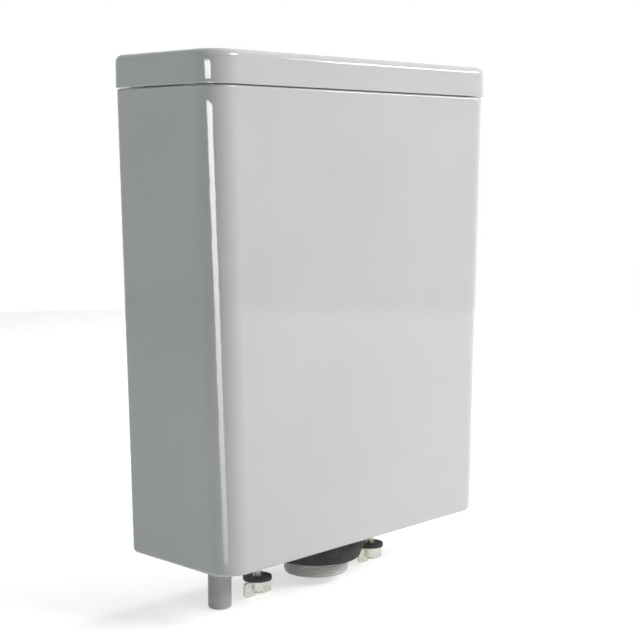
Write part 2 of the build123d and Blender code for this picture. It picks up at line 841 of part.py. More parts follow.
# Fill valve head: a drum with outlet ports, closed by the diaphragm and the cap
recess_radius = fill_head_radius - diaphragm_margin
diaphragm_low = fill_head_top - diaphragm_thickness
port_circle = (riser_radius + fill_head_radius - fill_head_wall) / 2
with BuildPart() as fill_valve_head:
    with BuildSketch(Plane.XY.offset(riser_top)):
        with Locations(*fill_place):
            Circle(fill_head_radius)
            Circle(riser_bore, mode=Mode.SUBTRACT)
    extrude(amount=fill_head_height)
    with BuildSketch(Plane.XY.offset(riser_top + fill_head_plate)):
        with Locations(*fill_place):
            Circle(fill_head_radius - fill_head_wall)
            Circle(riser_bore + fill_head_wall, mode=Mode.SUBTRACT)
    extrude(amount=fill_head_height, mode=Mode.SUBTRACT)
    with BuildSketch(Plane.XY.offset(diaphragm_low)):
        with Locations(*fill_place):
            Circle(recess_radius)
    extrude(amount=diaphragm_thickness, mode=Mode.SUBTRACT)
    with BuildSketch(Plane.XY.offset(riser_top)):
        with Locations(*fill_place):
            with PolarLocations(port_circle, fill_port_count):
                Circle(fill_port_radius)
    extrude(amount=fill_head_plate, mode=Mode.SUBTRACT)
fill_valve_head.part.label = "fill_valve_head"
export_step(fill_valve_head.part, "parts/fill_valve_head.step")

diaphragm_radius = recess_radius - snug
fill_diaphragm = ring(diaphragm_radius, pilot_hole_radius, diaphragm_low, fill_head_top, fill_place)
fill_diaphragm.part.label = "fill_diaphragm"
export_step(fill_diaphragm.part, "parts/fill_diaphragm.step")

# Fill valve cap: twisted on to the head, with the pilot nozzle and the two ears of the float arm
ear_inside = arm_width / 2 + arm_ear_gap
ear_outside = ear_inside + arm_ear_thickness
nozzle_x = arm_pivot_x - arm_short
with BuildPart() as fill_valve_cap:
    with BuildSketch(Plane.XY.offset(fill_head_top)):
        with Locations(*fill_place):
            Circle(fill_cap_radius)
    extrude(amount=fill_cap_height)
    fillet(fill_valve_cap.faces().sort_by(Axis.Z)[-1].edges(), fill_cap_edge)
    with BuildSketch(Plane.XY.offset(fill_cap_top)):
        with Locations((nozzle_x, 0)):
            Circle(pilot_nozzle_radius)
    extrude(amount=pilot_nozzle_height)
    with BuildSketch(Plane.XY.offset(fill_head_top)):
        with Locations((nozzle_x, 0)):
            Circle(pilot_hole_radius)
    extrude(amount=fill_cap_height + pilot_nozzle_height, mode=Mode.SUBTRACT)
    for ear_far in (-ear_inside, ear_outside):
        with BuildSketch(Plane.XZ.offset(-ear_far)):
            with Locations((arm_pivot_x, arm_pivot_z)):
                Circle(arm_ear_width / 2)
            with Locations((arm_pivot_x, (fill_cap_top + arm_pivot_z) / 2)):
                Rectangle(arm_ear_width, arm_pivot_z - fill_cap_top)
            with Locations((arm_pivot_x, arm_pivot_z)):
                Circle(arm_pin_radius + snug, mode=Mode.SUBTRACT)
        extrude(amount=arm_ear_thickness)
fill_valve_cap.part.label = "fill_valve_cap"
export_step(fill_valve_cap.part, "parts/fill_valve_cap.step")

arm_pin_reach = ear_outside + arm_pin_proud
with BuildPart() as float_arm_pin:
    with BuildSketch(Plane.XZ.offset(-arm_pin_reach)):
        with Locations((arm_pivot_x, arm_pivot_z)):
            Circle(arm_pin_radius)
    extrude(amount=2 * arm_pin_reach)
float_arm_pin.part.label = "float_arm_pin"
export_step(float_arm_pin.part, "parts/float_arm_pin.step")

# Float arm: drawn in its own plane, which is tipped down towards the float while the tank is empty
arm_frame = Plane(
    origin=(arm_pivot_x, 0, arm_pivot_z),
    x_dir=(math.cos(arm_half_turn), 0, -math.sin(arm_half_turn)),
    z_dir=(math.sin(arm_half_turn), 0, math.cos(arm_half_turn)),
)
with BuildPart() as float_arm:
    with BuildSketch(arm_frame.offset(-arm_thickness / 2)):
        with Locations(((arm_reach - arm_short) / 2, 0)):
            SlotOverall(arm_reach + arm_short + arm_width, arm_width)
        with Locations((arm_reach, 0)):
            SlotOverall(arm_tip_length, arm_tip_width)
        with Locations((arm_reach, 0)):
            SlotOverall(arm_slot_length, arm_slot_width, mode=Mode.SUBTRACT)
    extrude(amount=arm_thickness)
    with BuildSketch(Plane.XZ.offset(-arm_width / 2)):
        with Locations((arm_pivot_x, arm_pivot_z)):
            Circle(arm_hub_radius)
    extrude(amount=arm_width)
    with BuildSketch(Plane.XZ.offset(-arm_width / 2)):
        with Locations((arm_pivot_x, arm_pivot_z)):
            Circle(arm_pin_radius + running)
    extrude(amount=arm_width, mode=Mode.SUBTRACT)
float_arm.part.label = "float_arm"
export_step(float_arm.part, "parts/float_arm.step")

with BuildPart() as pilot_seal:
    with BuildSketch(arm_frame.offset(-arm_thickness / 2 - pilot_seal_height)):
        with Locations((-arm_short, 0)):
            Circle(pilot_seal_radius)
    extrude(amount=pilot_seal_height)
pilot_seal.part.label = "pilot_seal"
export_step(pilot_seal.part, "parts/pilot_seal.step")

# Float cup: an upturned cup that slides on the riser, with a tab for the adjusting rod
tab_top = float_top
tab_low = tab_top - float_tab_thickness
with BuildPart() as float_cup:
    with BuildSketch(Plane.XY.offset(float_low)):
        with Locations(*fill_place):
            Circle(float_radius)
    extrude(amount=float_height)
    with BuildSketch(Plane.XY.offset(tab_low)):
        with Locations(((fill_x + link_x) / 2, 0)):
            Rectangle(link_x - fill_x, float_tab_width)
        with Locations((link_x, 0)):
            Circle(float_tab_width / 2)
    extrude(amount=float_tab_thickness)
    with BuildSketch(Plane.XY.offset(float_low)):
        with Locations(*fill_place):
            Circle(float_radius - float_wall)
            Circle(riser_radius + float_gap + float_wall, mode=Mode.SUBTRACT)
    extrude(amount=float_height - float_wall, mode=Mode.SUBTRACT)
    with BuildSketch(Plane.XY.offset(float_low)):
        with Locations(*fill_place):
            Circle(riser_radius + float_gap)
    extrude(amount=float_height, mode=Mode.SUBTRACT)
    with BuildSketch(Plane.XY.offset(tab_low)):
        with Locations((link_x, 0)):
            Circle(adjusting_rod_radius + snug)
    extrude(amount=float_tab_thickness, mode=Mode.SUBTRACT)
float_cup.part.label = "float_cup"
export_step(float_cup.part, "parts/float_cup.step")

# Adjusting rod and clip: they ride on the float and carry the tip of the arm between them
link_place = [(link_x, 0)]
clip_top = link_z - arm_half_height - adjusting_gap
adjusting_head_low = link_z + arm_half_height + adjusting_gap
with BuildPart() as adjusting_rod:
    with BuildSketch(Plane.XY.offset(tab_low - adjusting_rod_below)):
        with Locations(*link_place):
            Circle(adjusting_rod_radius)
    extrude(amount=adjusting_head_low - tab_low + adjusting_rod_below)
    with BuildSketch(Plane.XY.offset(adjusting_head_low)):
        with Locations(*link_place):
            Circle(adjusting_head_radius)
    extrude(amount=adjusting_head_height)
adjusting_rod.part.label = "adjusting_rod"
export_step(adjusting_rod.part, "parts/adjusting_rod.step")

adjusting_clip = ring(
    adjusting_clip_radius,
    adjusting_rod_radius + snug,
    clip_top - adjusting_clip_height,
    clip_top,
    link_place,
)
adjusting_clip.part.label = "adjusting_clip"
export_step(adjusting_clip.part, "parts/adjusting_clip.step")

# Coupling kit: slotted bolts through the floor with rubber cones inside and wing nuts at the lower ends
with BuildPart() as coupling_bolts:
    with BuildSketch(Plane.XY.offset(bolt_head_low)):
        with Locations(*bolt_places):
            Circle(bolt_head_radius)
    extrude(amount=bolt_head_height)
    fillet(coupling_bolts.faces().group_by(Axis.Z)[-1].edges(), bolt_chamfer)
    with BuildSketch(Plane.XY.offset(bolt_head_low + bolt_head_height - bolt_slot_depth)):
        with Locations(*bolt_places):
            Rectangle(2 * bolt_head_radius, bolt_slot_width)
    extrude(amount=bolt_slot_depth, mode=Mode.SUBTRACT)
    with BuildSketch(Plane.XY.offset(wing_low - bolt_tip)):
        with Locations(*bolt_places):
            Circle(bolt_core_radius)
    extrude(amount=bolt_head_low - wing_low + bolt_tip)
    chamfer(coupling_bolts.faces().group_by(Axis.Z)[0].edges(), bolt_chamfer)
    with BuildSketch(Plane.XY.offset(-bolt_grip)):
        with Locations(*bolt_places):
            Circle(bolt_radius)
    extrude(amount=bolt_grip + bolt_above)
coupling_bolts.part.label = "coupling_bolts"
export_step(coupling_bolts.part, "parts/coupling_bolts.step")

bolt_head_washers = ring(
    head_washer_radius, bolt_core_radius + snug, head_washer_low, bolt_head_low, bolt_places
)
bolt_head_washers.part.label = "bolt_head_washers"
export_step(bolt_head_washers.part, "parts/bolt_head_washers.step")

cone_plug_low = tank_floor - cone_seal_plug
with BuildPart() as bolt_cone_seals:
    with BuildSketch(Plane.XY.offset(tank_floor)):
        with Locations(*bolt_places):
            Circle(cone_seal_radius)
    extrude(amount=cone_seal_thickness)
    with BuildSketch(Plane.XY.offset(cone_plug_low)):
        with Locations(*bolt_places):
            Circle(bolt_radius + bolt_hole_clearance - snug)
    extrude(amount=cone_seal_plug)
    with BuildSketch(Plane.XY.offset(cone_plug_low)):
        with Locations(*bolt_places):
            Circle(bolt_core_radius + snug)
    extrude(amount=cone_seal_plug + cone_seal_thickness, mode=Mode.SUBTRACT)
bolt_cone_seals.part.label = "bolt_cone_seals"
export_step(bolt_cone_seals.part, "parts/bolt_cone_seals.step")

pan_rubber_washers = ring(
    pan_seal_radius, bolt_core_radius + snug, washer_stack_low, -bolt_grip, bolt_places
)
pan_rubber_washers.part.label = "pan_rubber_washers"
export_step(pan_rubber_washers.part, "parts/pan_rubber_washers.step")

pan_steel_washers = ring(
    head_washer_radius, bolt_core_radius + snug, wing_top, washer_stack_low, bolt_places
)
pan_steel_washers.part.label = "pan_steel_washers"
export_step(pan_steel_washers.part, "parts/pan_steel_washers.step")

with BuildPart() as wing_nuts:
    with BuildSketch(Plane.XY.offset(wing_low)):
        with Locations(*bolt_places):
            Circle(wing_hub_radius)
    extrude(amount=wing_hub_height)
    for bolt_x, bolt_y in bolt_places:
        with BuildSketch(Plane.XZ.offset(-wing_thickness / 2)):
            with Locations((bolt_x, wing_top - wing_height / 2)):
                RectangleRounded(2 * wing_reach, wing_height, wing_corner)
        extrude(amount=wing_thickness)
    with BuildSketch(Plane.XY.offset(wing_top - wing_height)):
        with Locations(*bolt_places):
            Circle(bolt_core_radius + snug)
    extrude(amount=wing_height, mode=Mode.SUBTRACT)
wing_nuts.part.label = "wing_nuts"
export_step(wing_nuts.part, "parts/wing_nuts.step")
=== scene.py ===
import math

import bmesh
import bpy
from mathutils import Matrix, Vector


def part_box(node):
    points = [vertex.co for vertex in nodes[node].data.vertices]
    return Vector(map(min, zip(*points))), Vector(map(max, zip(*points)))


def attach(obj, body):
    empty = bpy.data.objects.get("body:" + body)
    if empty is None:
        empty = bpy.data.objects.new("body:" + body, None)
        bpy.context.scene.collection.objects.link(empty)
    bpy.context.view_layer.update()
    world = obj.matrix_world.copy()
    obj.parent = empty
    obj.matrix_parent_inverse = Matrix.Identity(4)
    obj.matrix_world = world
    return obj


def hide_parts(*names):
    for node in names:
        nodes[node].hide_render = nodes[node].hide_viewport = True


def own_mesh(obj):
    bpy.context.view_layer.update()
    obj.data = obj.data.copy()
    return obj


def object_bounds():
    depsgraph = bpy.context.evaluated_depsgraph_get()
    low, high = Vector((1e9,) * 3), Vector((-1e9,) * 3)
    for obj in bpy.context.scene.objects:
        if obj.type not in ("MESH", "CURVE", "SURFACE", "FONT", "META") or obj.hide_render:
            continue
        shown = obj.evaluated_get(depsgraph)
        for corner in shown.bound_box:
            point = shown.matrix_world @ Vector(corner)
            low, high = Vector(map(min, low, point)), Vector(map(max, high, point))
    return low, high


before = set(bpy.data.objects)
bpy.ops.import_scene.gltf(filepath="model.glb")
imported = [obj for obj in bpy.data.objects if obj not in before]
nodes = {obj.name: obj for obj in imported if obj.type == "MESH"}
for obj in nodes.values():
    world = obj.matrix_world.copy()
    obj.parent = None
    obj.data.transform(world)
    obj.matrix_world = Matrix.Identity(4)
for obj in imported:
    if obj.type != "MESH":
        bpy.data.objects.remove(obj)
cad_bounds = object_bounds()

# Camera: it looks at the left front corner from a little above the middle. Its place and lens were
# fitted to the straight edges of the tank and the lid in the photograph.
camera_place = (-0.8998, -0.8744, 0.3405)
camera_turn = 46.0
camera_dip = 6.59
camera_sensor = 36.0
camera_lens = 77.7
camera_reach = 20.0

camera_data = bpy.data.cameras.new("camera")
camera_data.sensor_width = camera_sensor
camera_data.lens = camera_lens
camera_data.clip_end = camera_reach
camera = bpy.data.objects.new("camera", camera_data)
camera.location = camera_place
camera.rotation_euler = (math.radians(90 - camera_dip), 0, math.radians(-camera_turn))
bpy.context.scene.collection.objects.link(camera)
bpy.context.scene.camera = camera
bpy.context.scene.view_settings.view_transform = "Standard"


# China tank: vitreous clay, slip cast, under a hard clear glaze over white. The cast walls wave a
# little, the glaze ripples finely, and it is a shade greyer where it has run thin. Each bump is given
# as its features per metre and its height in metres.
glaze_thin = (0.70, 0.712, 0.703)
glaze_full = (0.735, 0.742, 0.735)
glaze_patches = 9.0
glaze_smears = 30.0
glaze_roughness = (0.025, 0.05)
glaze_ior = 1.52
wall_waves = (5.0, 0.0006)
glaze_ripples = (70.0, 0.00002)


def new_material(name):
    """A new node material: its tree and its Principled shader."""
    material = bpy.data.materials.new(name)
    material.use_nodes = True
    return material, material.node_tree, material.node_tree.nodes["Principled BSDF"]


def noise(tree, scale, detail=2.0, stretch=(1, 1, 1)):
    """Noise over the piece's own coordinates, in features per metre."""
    place = tree.nodes.new("ShaderNodeTexCoord")
    mapping = tree.nodes.new("ShaderNodeMapping")
    mapping.inputs["Scale"].default_value = stretch
    tree.links.new(place.outputs["Object"], mapping.inputs["Vector"])
    texture = tree.nodes.new("ShaderNodeTexNoise")
    texture.inputs["Scale"].default_value = scale
    texture.inputs["Detail"].default_value = detail
    tree.links.new(mapping.outputs["Vector"], texture.inputs["Vector"])
    return texture.outputs["Fac"]


def spread(tree, value, low, high, start=0.3, end=0.7):
    """A value between start and end, mapped to the range from low to high."""
    remap = tree.nodes.new("ShaderNodeMapRange")
    remap.inputs["From Min"].default_value = start
    remap.inputs["From Max"].default_value = end
    remap.inputs["To Min"].default_value = low
    remap.inputs["To Max"].default_value = high
    tree.links.new(value, remap.inputs["Value"])
    return remap.outputs["Result"]


def tint(tree, value, first, second):
    """The colour between first and second that a value from 0 to 1 picks."""
    mix = tree.nodes.new("ShaderNodeMix")
    mix.data_type = "RGBA"
    mix.inputs["A"].default_value = (*first, 1)
    mix.inputs["B"].default_value = (*second, 1)
    tree.links.new(value, mix.inputs["Factor"])
    return mix.outputs["Result"]


def relief(tree, shader, *layers):
    """Bumps laid over each other, each a value and its height in metres."""
    below = None
    for value, height in layers:
        node = tree.nodes.new("ShaderNodeBump")
        node.inputs["Distance"].default_value = height
        tree.links.new(value, node.inputs["Height"])
        if below:
            tree.links.new(below, node.inputs["Normal"])
        below = node.outputs["Normal"]
    tree.links.new(below, shader.inputs["Normal"])


def china(name):
    """Glazed china."""
    material, tree, shader = new_material(name)
    shade = tint(tree, spread(tree, noise(tree, glaze_patches), 0, 1), glaze_thin, glaze_full)
    tree.links.new(shade, shader.inputs["Base Color"])
    gloss = spread(tree, noise(tree, glaze_smears), *glaze_roughness)
    tree.links.new(gloss, shader.inputs["Roughness"])
    shader.inputs["IOR"].default_value = glaze_ior
    layers = [(noise(tree, scale), height) for scale, height in (wall_waves, glaze_ripples)]
    relief(tree, shader, *layers)
    return material


def dress(node, material):
    """Gives a CAD node its material."""
    nodes[node].data.materials[0] = material


dress("tank", china("tank_china"))


# Flush valve base: white acetal, moulded in one with its tail and seat. It goes through the tank's
# floor on a flat rubber seal and is drawn down by a ribbed backnut. Its tail gets a turned thread.
# The materials' scales are in features per metre.
plastic_ior = 1.49
plastic_flow_scale = 40.0
plastic_flow_detail = 3.0
plastic_flow_stretch = (1, 1, 0.3)
plastic_flow_shade = 1.06
plastic_gloss_scale = 90.0
plastic_gloss_down = 0.05
plastic_gloss_up = 0.07
plastic_glow_depth = (0.004, 0.004, 0.004)
plastic_glow_scale = 0.5
plastic_sinks = (60.0, 0.0001)
plastic_grain = (1800.0, 0.00001)

rubber_bloom_scale = 70.0
rubber_bloom_detail = 4.0
rubber_bloom_shade = 1.5
rubber_bloom_dust = 0.015
rubber_gloss_scale = 120.0
rubber_gloss_spread = 0.08
rubber_grain = (900.0, 0.00004)
rubber_grain_detail = 3.0
sponge_cells = 900.0

plating_scale = 55.0
metal_detail = 3.0
metal_gloss_scale = 300.0
metal_gloss_shares = (0.7, 1.4)
scratch_scale = 700.0

weld = 0.000002
smooth_angle = 32
seam_sides = 8
flank_shares = (0.08, 0.4, 0.6, 0.92)
thread_start_share = 1.1
thread_spare_turns = 2

tail_core = 0.029
tail_crest = 0.0298
tail_pitch = 0.0024
tail_thread_high = -0.0245
tail_lead_in = 0.0012
tail_steps = 96
thread_lap = 0.00005


def moulded(name, colour, rough=0.38, clear=0.0, glow=0.0):
    """Injection-moulded plastic: a spark-eroded grain, soft flow marks and slightly uneven gloss."""
    material, tree, shader = new_material(name)
    pale = tuple(min(1.0, plastic_flow_shade * part) for part in colour)
    flow = spread(tree, noise(tree, plastic_flow_scale, plastic_flow_detail, plastic_flow_stretch), 0, 1)
    tree.links.new(tint(tree, flow, colour, pale), shader.inputs["Base Color"])
    smears = noise(tree, plastic_gloss_scale)
    gloss = spread(tree, smears, rough - plastic_gloss_down, rough + plastic_gloss_up)
    tree.links.new(gloss, shader.inputs["Roughness"])
    shader.inputs["IOR"].default_value = plastic_ior
    shader.inputs["Transmission Weight"].default_value = clear
    shader.inputs["Subsurface Weight"].default_value = glow
    shader.inputs["Subsurface Radius"].default_value = plastic_glow_depth
    shader.inputs["Subsurface Scale"].default_value = plastic_glow_scale
    layers = [(noise(tree, scale), height) for scale, height in (plastic_sinks, plastic_grain)]
    relief(tree, shader, *layers)
    return material


def rubber(name, colour, rough, cells=0.0):
    """Moulded rubber with a dusty bloom; a sponge rubber also has open cells."""
    material, tree, shader = new_material(name)
    bloom = tuple(rubber_bloom_shade * part + rubber_bloom_dust for part in colour)
    dust = spread(tree, noise(tree, rubber_bloom_scale, rubber_bloom_detail), 0, 1)
    tree.links.new(tint(tree, dust, colour, bloom), shader.inputs["Base Color"])
    smears = noise(tree, rubber_gloss_scale)
    gloss = spread(tree, smears, rough - rubber_gloss_spread, rough + rubber_gloss_spread)
    tree.links.new(gloss, shader.inputs["Roughness"])
    layers = [(noise(tree, rubber_grain[0], rubber_grain_detail), rubber_grain[1])]
    if cells:
        place = tree.nodes.new("ShaderNodeTexCoord")
        sponge = tree.nodes.new("ShaderNodeTexVoronoi")
        sponge.inputs["Scale"].default_value = sponge_cells
        tree.links.new(place.outputs["Object"], sponge.inputs["Vector"])
        layers.append((sponge.outputs["Distance"], cells))
    relief(tree, shader, *layers)
    return material


def metal(name, colour, tarnish, rough, grain, stretch=(1, 1, 1)):
    """Bare or plated metal: two tones of plating, uneven gloss and scratches along the stretch."""
    material, tree, shader = new_material(name)
    shader.inputs["Metallic"].default_value = 1.0
    plating = tint(tree, spread(tree, noise(tree, plating_scale, metal_detail), 0, 1), colour, tarnish)
    tree.links.new(plating, shader.inputs["Base Color"])
    smears = noise(tree, metal_gloss_scale, metal_detail, stretch)
    gloss = spread(tree, smears, *(rough * share for share in metal_gloss_shares))
    tree.links.new(gloss, shader.inputs["Roughness"])
    relief(tree, shader, (noise(tree, scratch_scale, stretch=stretch), grain))
    return material


def cut_flat(form, place, outwards):
    """Cuts off what lies past a plane, and closes the cut."""
    everything = form.verts[:] + form.edges[:] + form.faces[:]
    cut = bmesh.ops.bisect_plane(
        form, geom=everything, plane_co=place, plane_no=outwards, clear_outer=True
    )
    rim = [part for part in cut["geom_cut"] if isinstance(part, bmesh.types.BMEdge)]
    bmesh.ops.holes_fill(form, edges=rim)


def add_to(form, extra):
    """Adds one shape to another."""
    mesh = bpy.data.meshes.new("part")
    extra.to_mesh(mesh)
    extra.free()
    form.from_mesh(mesh)
    bpy.data.meshes.remove(mesh)


def ring(form, points):
    """A closed ring of edges through points."""
    corners = [form.verts.new(point) for point in points]
    edges = [form.edges.new((corners[i - 1], corners[i])) for i in range(len(corners))]
    return corners + edges


def add_thread(form, centre, root, crest, pitch, low, high, steps):
    """Turns a thread: its whole outline goes round once while it climbs a pitch, and both ends are
    faced off. The outline is a row of teeth, closed inside by a side as far below the root as the
    crest is above it."""
    x, y = centre
    thread = bmesh.new()
    pitches = range(math.ceil((high - low) / pitch) + thread_spare_turns)
    start = low - thread_start_share * pitch
    flanks = tuple(zip((root, crest, crest, root), flank_shares))
    outline = [(radius, number + share) for number in pitches for radius, share in flanks]
    outline += [(root - (crest - root), number + 0.5) for number in reversed(pitches)]
    teeth = ring(thread, [(x + radius, y, start + climb * pitch) for radius, climb in outline])
    bmesh.ops.spin(
        thread, geom=teeth, cent=(x, y, 0), axis=(0, 0, 1), dvec=(0, 0, pitch / steps),
        angle=2 * math.pi, steps=steps,
    )
    bmesh.ops.remove_doubles(thread, verts=thread.verts[:], dist=weld)
    for height, outwards in ((low, -1), (high, 1)):
        everything = thread.verts[:] + thread.edges[:] + thread.faces[:]
        cut = bmesh.ops.bisect_plane(
            thread, geom=everything, plane_co=(x, y, height), plane_no=(0, 0, outwards),
            clear_outer=True,
        )
        rims = [part for part in cut["geom_cut"] if isinstance(part, bmesh.types.BMEdge)]
        bmesh.ops.bridge_loops(thread, edges=rims)
    add_to(form, thread)


def finish(form, name, material, body="cistern", node=None):
    """Merges and closes the seams, turns the faces outwards and puts the piece on its body, in place
    of its node."""
    bmesh.ops.remove_doubles(form, verts=form.verts[:], dist=weld)
    loose = [edge for edge in form.edges if not edge.link_faces]
    bmesh.ops.delete(form, geom=loose, context="EDGES")
    bmesh.ops.holes_fill(form, edges=form.edges[:], sides=seam_sides)
    bmesh.ops.recalc_face_normals(form, faces=form.faces[:])
    mesh = bpy.data.meshes.new(name)
    form.to_mesh(mesh)
    form.free()
    mesh.shade_smooth()
    mesh.set_sharp_from_angle(angle=math.radians(smooth_angle))
    mesh.materials.append(material)
    piece = bpy.data.objects.new(name, mesh)
    bpy.context.scene.collection.objects.link(piece)
    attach(piece, body)
    if node:
        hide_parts(node)
    return piece


white_plastic = moulded("white_plastic", (0.78, 0.78, 0.755), 0.34, glow=0.1)
black_rubber = rubber("black_rubber", (0.028, 0.028, 0.028), 0.62)
dress("valve_base", white_plastic)
dress("base_seal", black_rubber)
dress("tail_backnut", white_plastic)
tail_thread_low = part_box("valve_base")[0].z + tail_lead_in
tail_thread = bmesh.new()
add_thread(
    tail_thread, (0, 0), tail_core - thread_lap, tail_crest, tail_pitch,
    tail_thread_low, tail_thread_high, tail_steps,
)
finish(tail_thread, "tail_thread", white_plastic)

# Doughnut seal: closed-cell sponge rubber, pushed over the backnut; the tank's weight on the pan
# squeezes it tight.
dress("doughnut_seal", rubber("doughnut_rubber", (0.035, 0.035, 0.036), 0.85, cells=0.0003))

# Flush valve: the basket clips on to the base and holds the clear column; the lift tube inside it is
# the overflow too, and carries the red silicone seat seal under its disc.
blue_plastic = moulded("blue_plastic", (0.035, 0.16, 0.42), 0.33)
grey_plastic = moulded("grey_plastic", (0.27, 0.285, 0.30), 0.4)
rocker_plastic = moulded("rocker_plastic", (0.66, 0.655, 0.61), 0.36, glow=0.1)
seal_rubber = rubber("seal_rubber", (0.34, 0.055, 0.035), 0.42)
steel_pin = metal("steel_pin", (0.62, 0.62, 0.62), (0.56, 0.56, 0.55), 0.2, 0.00001, (1, 0.1, 1))
dress("basket_posts", white_plastic)
dress("valve_basket", white_plastic)
dress("valve_column", moulded("clear_plastic", (0.74, 0.78, 0.78), 0.16, clear=0.55))
dress("valve_head", blue_plastic)
dress("rocker_pin", steel_pin)
dress("full_flush_rocker", rocker_plastic)
dress("half_flush_rocker", rocker_plastic)
dress("lift_tube", white_plastic)
dress("plug_disc", white_plastic)
dress("seat_seal", seal_rubber)
dress("seal_retainer", blue_plastic)
dress("lift_yoke", blue_plastic)
dress("half_flush_float", grey_plastic)
dress("half_flush_link", grey_plastic)

# Fill valve shank: white plastic with a half-inch thread, a flange over its washer and a socket that
# the riser is pressed into. A backnut below the floor holds it.
shank_crest = 0.0104
shank_root = 0.0096
shank_pitch = 0.001814
shank_bore = 0.007
shank_step = -0.018
shank_steps = 64
nut_land = 0.0102
nut_land_low = -0.010
shank_chamfer = 0.0008
socket_edge = 0.0004
socket_wall = 0.0025
flange_edge = 0.0006
flange_thickness = 0.0035
riser_inside = 0.005
riser_fit = 0.00005


def turn(form, outline, centre, steps=72):
    """Turns an outline of radius and height about an upright axis."""
    x, y = centre
    section = ring(form, [(x + radius, y, height) for radius, height in outline])
    bmesh.ops.spin(
        form, geom=section, cent=(x, y, 0), axis=(0, 0, 1), angle=2 * math.pi, steps=steps,
        use_merge=True,
    )


shank_low, shank_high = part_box("fill_valve_shank")
riser_low, riser_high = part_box("fill_riser")
shank_centre = ((shank_low.x + shank_high.x) / 2, 0)
shank_flange = (shank_high.x - shank_low.x) / 2
riser_outside = (riser_high.x - riser_low.x) / 2 + riser_fit
socket_outside = riser_outside + socket_wall
flange_under = riser_low.z - flange_thickness
shank = bmesh.new()
turn(
    shank,
    [
        (shank_bore + socket_edge, shank_low.z), (shank_root - shank_chamfer, shank_low.z),
        (shank_root, shank_low.z + shank_chamfer), (shank_root, nut_land_low),
        (nut_land, nut_land_low), (nut_land, flange_under), (shank_flange - flange_edge, flange_under),
        (shank_flange, flange_under + flange_edge), (shank_flange, riser_low.z - flange_edge),
        (shank_flange - flange_edge, riser_low.z), (socket_outside + flange_edge, riser_low.z),
        (socket_outside, riser_low.z + flange_edge), (socket_outside, shank_high.z - socket_edge),
        (socket_outside - socket_edge, shank_high.z), (riser_outside, shank_high.z),
        (riser_outside, riser_low.z), (riser_inside, riser_low.z), (riser_inside, shank_step),
        (shank_bore, shank_step), (shank_bore, shank_low.z + socket_edge),
    ],
    shank_centre,
)
add_thread(
    shank, shank_centre, shank_root - thread_lap, shank_crest, shank_pitch,
    shank_low.z + shank_chamfer, nut_land_low, shank_steps,
)
finish(shank, "threaded_shank", white_plastic, node="fill_valve_shank")

# Fill valve: the riser carries the blue float and the valve. The float's arm lifts the red pilot seal
# off its nozzle in the cap when the water is low.
rod_plastic = moulded("rod_plastic", (0.7, 0.7, 0.67), 0.4)
dress("fill_riser", white_plastic)
dress("inlet_washer", black_rubber)
dress("inlet_backnut", white_plastic)
dress("inlet_filter", moulded("filter_plastic", (0.72, 0.71, 0.45), 0.45))
dress("fill_valve_head", blue_plastic)
dress("fill_diaphragm", seal_rubber)
dress("fill_valve_cap", grey_plastic)
dress("float_arm_pin", steel_pin)
dress("float_arm", rocker_plastic)
dress("pilot_seal", seal_rubber)
dress("float_cup", blue_plastic)
dress("adjusting_rod", rod_plastic)
dress("adjusting_clip", grey_plastic)

# Coupling kit: two slotted steel bolts, zinc plated and passivated, with rubber cones inside the tank
# and rubber washers, steel washers and wing nuts below.
bolt_head_radius = 0.008
bolt_head_height = 0.0053
bolt_dome = 0.0012
bolt_head_edge = 0.0006
dome_shares = ((0.92, 0.55), (0.7, 0.84), (0.4, 0.96), (0, 1))
bolt_slot = 0.0016
bolt_slot_depth = 0.002
bolt_root = 0.00345
bolt_crest = 0.00398
bolt_pitch = 0.00125
bolt_point = 0.0008
bolt_steps = 32
bolt_thread_lap = 0.00004
shaft_lap = 0.0001
slot_lap = 0.00002


def bolt_head(centre, low, top):
    """A cheese head with a slightly domed top, turned in one."""
    head = bmesh.new()
    crown = top - bolt_dome
    outline = [
        (0, low), (bolt_head_radius - bolt_head_edge, low),
        (bolt_head_radius, low + bolt_head_edge), (bolt_head_radius, crown),
    ]
    outline += [(out * bolt_head_radius, crown + up * bolt_dome) for out, up in dome_shares]
    turn(head, outline, centre)
    bmesh.ops.remove_doubles(head, verts=head.verts[:], dist=weld)
    return head


zinc_steel = metal("zinc_steel", (0.60, 0.61, 0.62), (0.60, 0.575, 0.47), 0.3, 0.00002)
bolts_low, bolts_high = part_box("coupling_bolts")
bolt_spread = bolts_high.x - bolt_head_radius
slot_floor = bolts_high.z - bolt_slot_depth
head_under = bolts_high.z - bolt_head_height
shaft_top = head_under + shaft_lap
bolts = bmesh.new()
for bolt_x in (-bolt_spread, bolt_spread):
    bolt_centre = (bolt_x, 0)
    lower = bolt_head(bolt_centre, head_under, bolts_high.z)
    cut_flat(lower, (bolt_x, 0, slot_floor), (0, 0, 1))
    add_to(bolts, lower)
    for side in (-1, 1):
        upper = bolt_head(bolt_centre, head_under, bolts_high.z)
        cut_flat(upper, (bolt_x, 0, slot_floor - slot_lap), (0, 0, -1))
        cut_flat(upper, (bolt_x, side * bolt_slot / 2, 0), (0, -side, 0))
        add_to(bolts, upper)
    turn(
        bolts,
        [
            (0, bolts_low.z), (bolt_root - bolt_point, bolts_low.z),
            (bolt_root, bolts_low.z + bolt_point), (bolt_root, shaft_top), (0, shaft_top),
        ],
        bolt_centre,
        bolt_steps,
    )
    add_thread(
        bolts, bolt_centre, bolt_root - bolt_thread_lap, bolt_crest, bolt_pitch,
        bolts_low.z + bolt_point, head_under, bolt_steps,
    )
finish(bolts, "threaded_bolts", zinc_steel, node="coupling_bolts")
dress("bolt_head_washers", zinc_steel)
dress("bolt_cone_seals", black_rubber)
dress("pan_rubber_washers", black_rubber)
dress("pan_steel_washers", zinc_steel)
dress("wing_nuts", zinc_steel)

